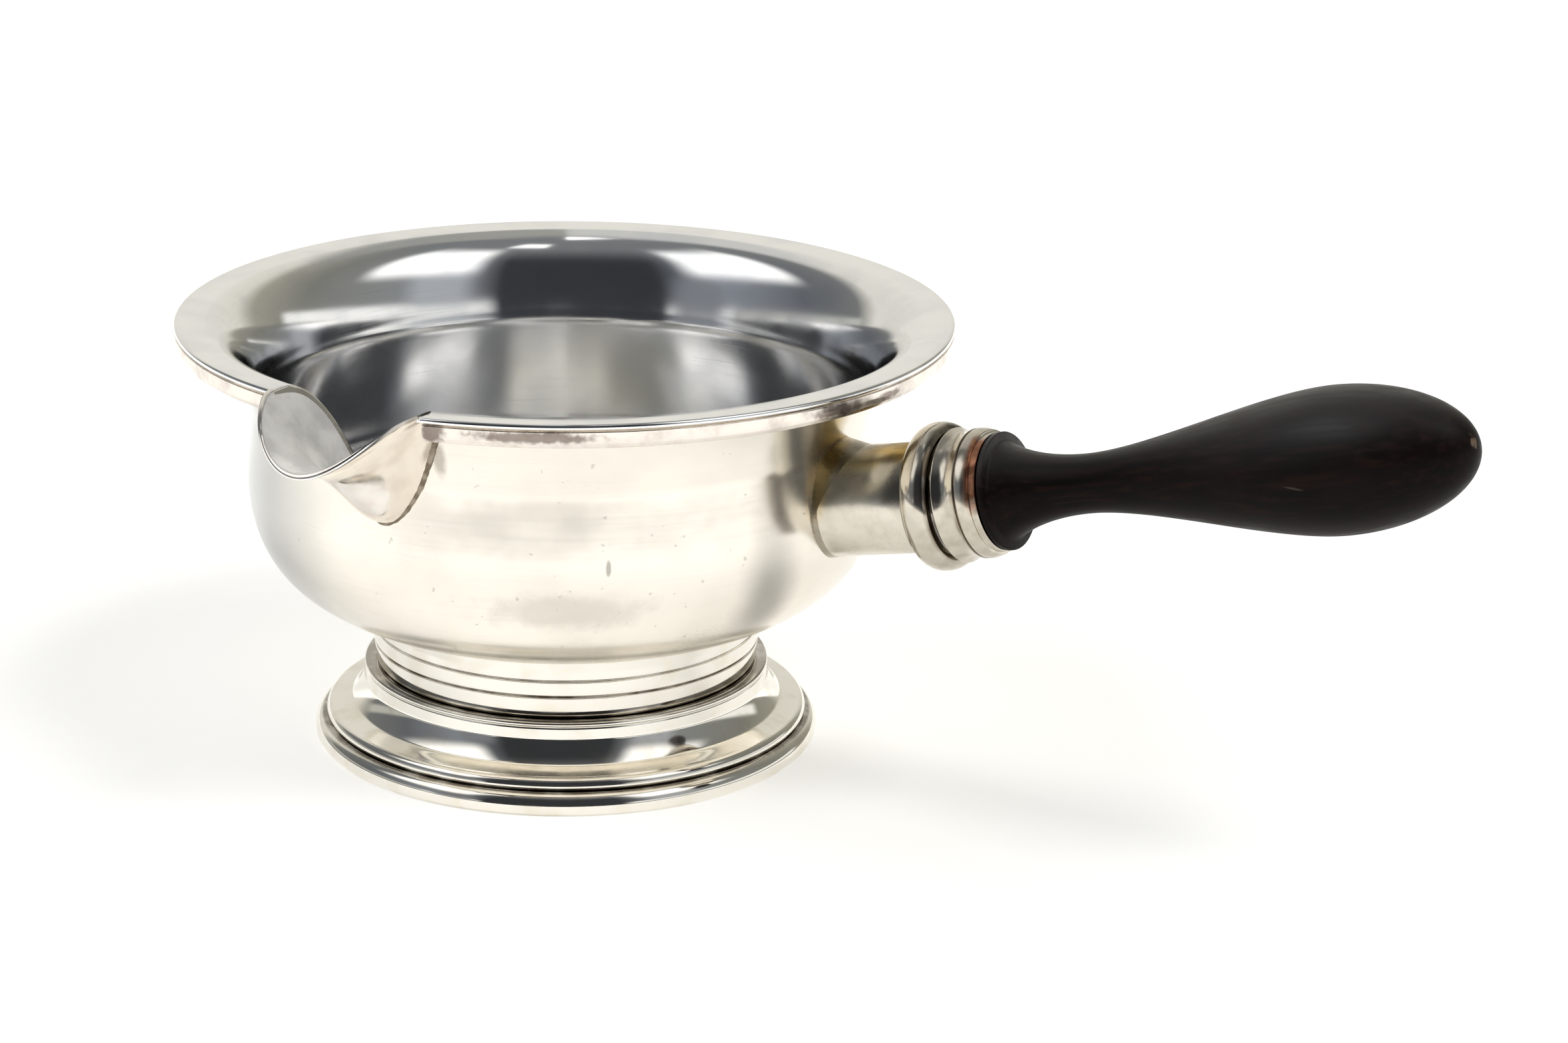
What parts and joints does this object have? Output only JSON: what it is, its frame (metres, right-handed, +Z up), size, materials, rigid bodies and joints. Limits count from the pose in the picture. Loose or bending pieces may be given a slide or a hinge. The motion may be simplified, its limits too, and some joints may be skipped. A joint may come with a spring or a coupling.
{
  "type": "gravy bowl",
  "caption": "Round footed gravy bowl with a flared rim, a pouring lip at one side and a turned wooden handle in a socket about a quarter turn away.",
  "frame": {"origin": "on the table under the middle of the whole object", "axes": "+X runs along the handle away from the bowl, -Y is the side with the pouring lip, +Z is up"},
  "size_m": [0.2254, 0.1414, 0.0826],
  "materials": {
    "satin_silver": "satin, finely brushed",
    "polished_silver": "polished, worn",
    "plug_brass": "turned, dull",
    "stud_steel": "turned",
    "ebony": "satin, rubbed"
  },
  "bodies": {
    "root": {"bowl": "satin_silver", "rim_band": "satin_silver", "pouring_lip": "polished_silver", "foot_collar": "polished_silver", "foot": "polished_silver", "foot_ring": "polished_silver", "handle_socket": "satin_silver", "socket_ring": "polished_silver", "socket_plug": "plug_brass", "ferrule": "polished_silver", "handle_stud": "stud_steel", "handle": "ebony"}
  },
  "joints": []
}
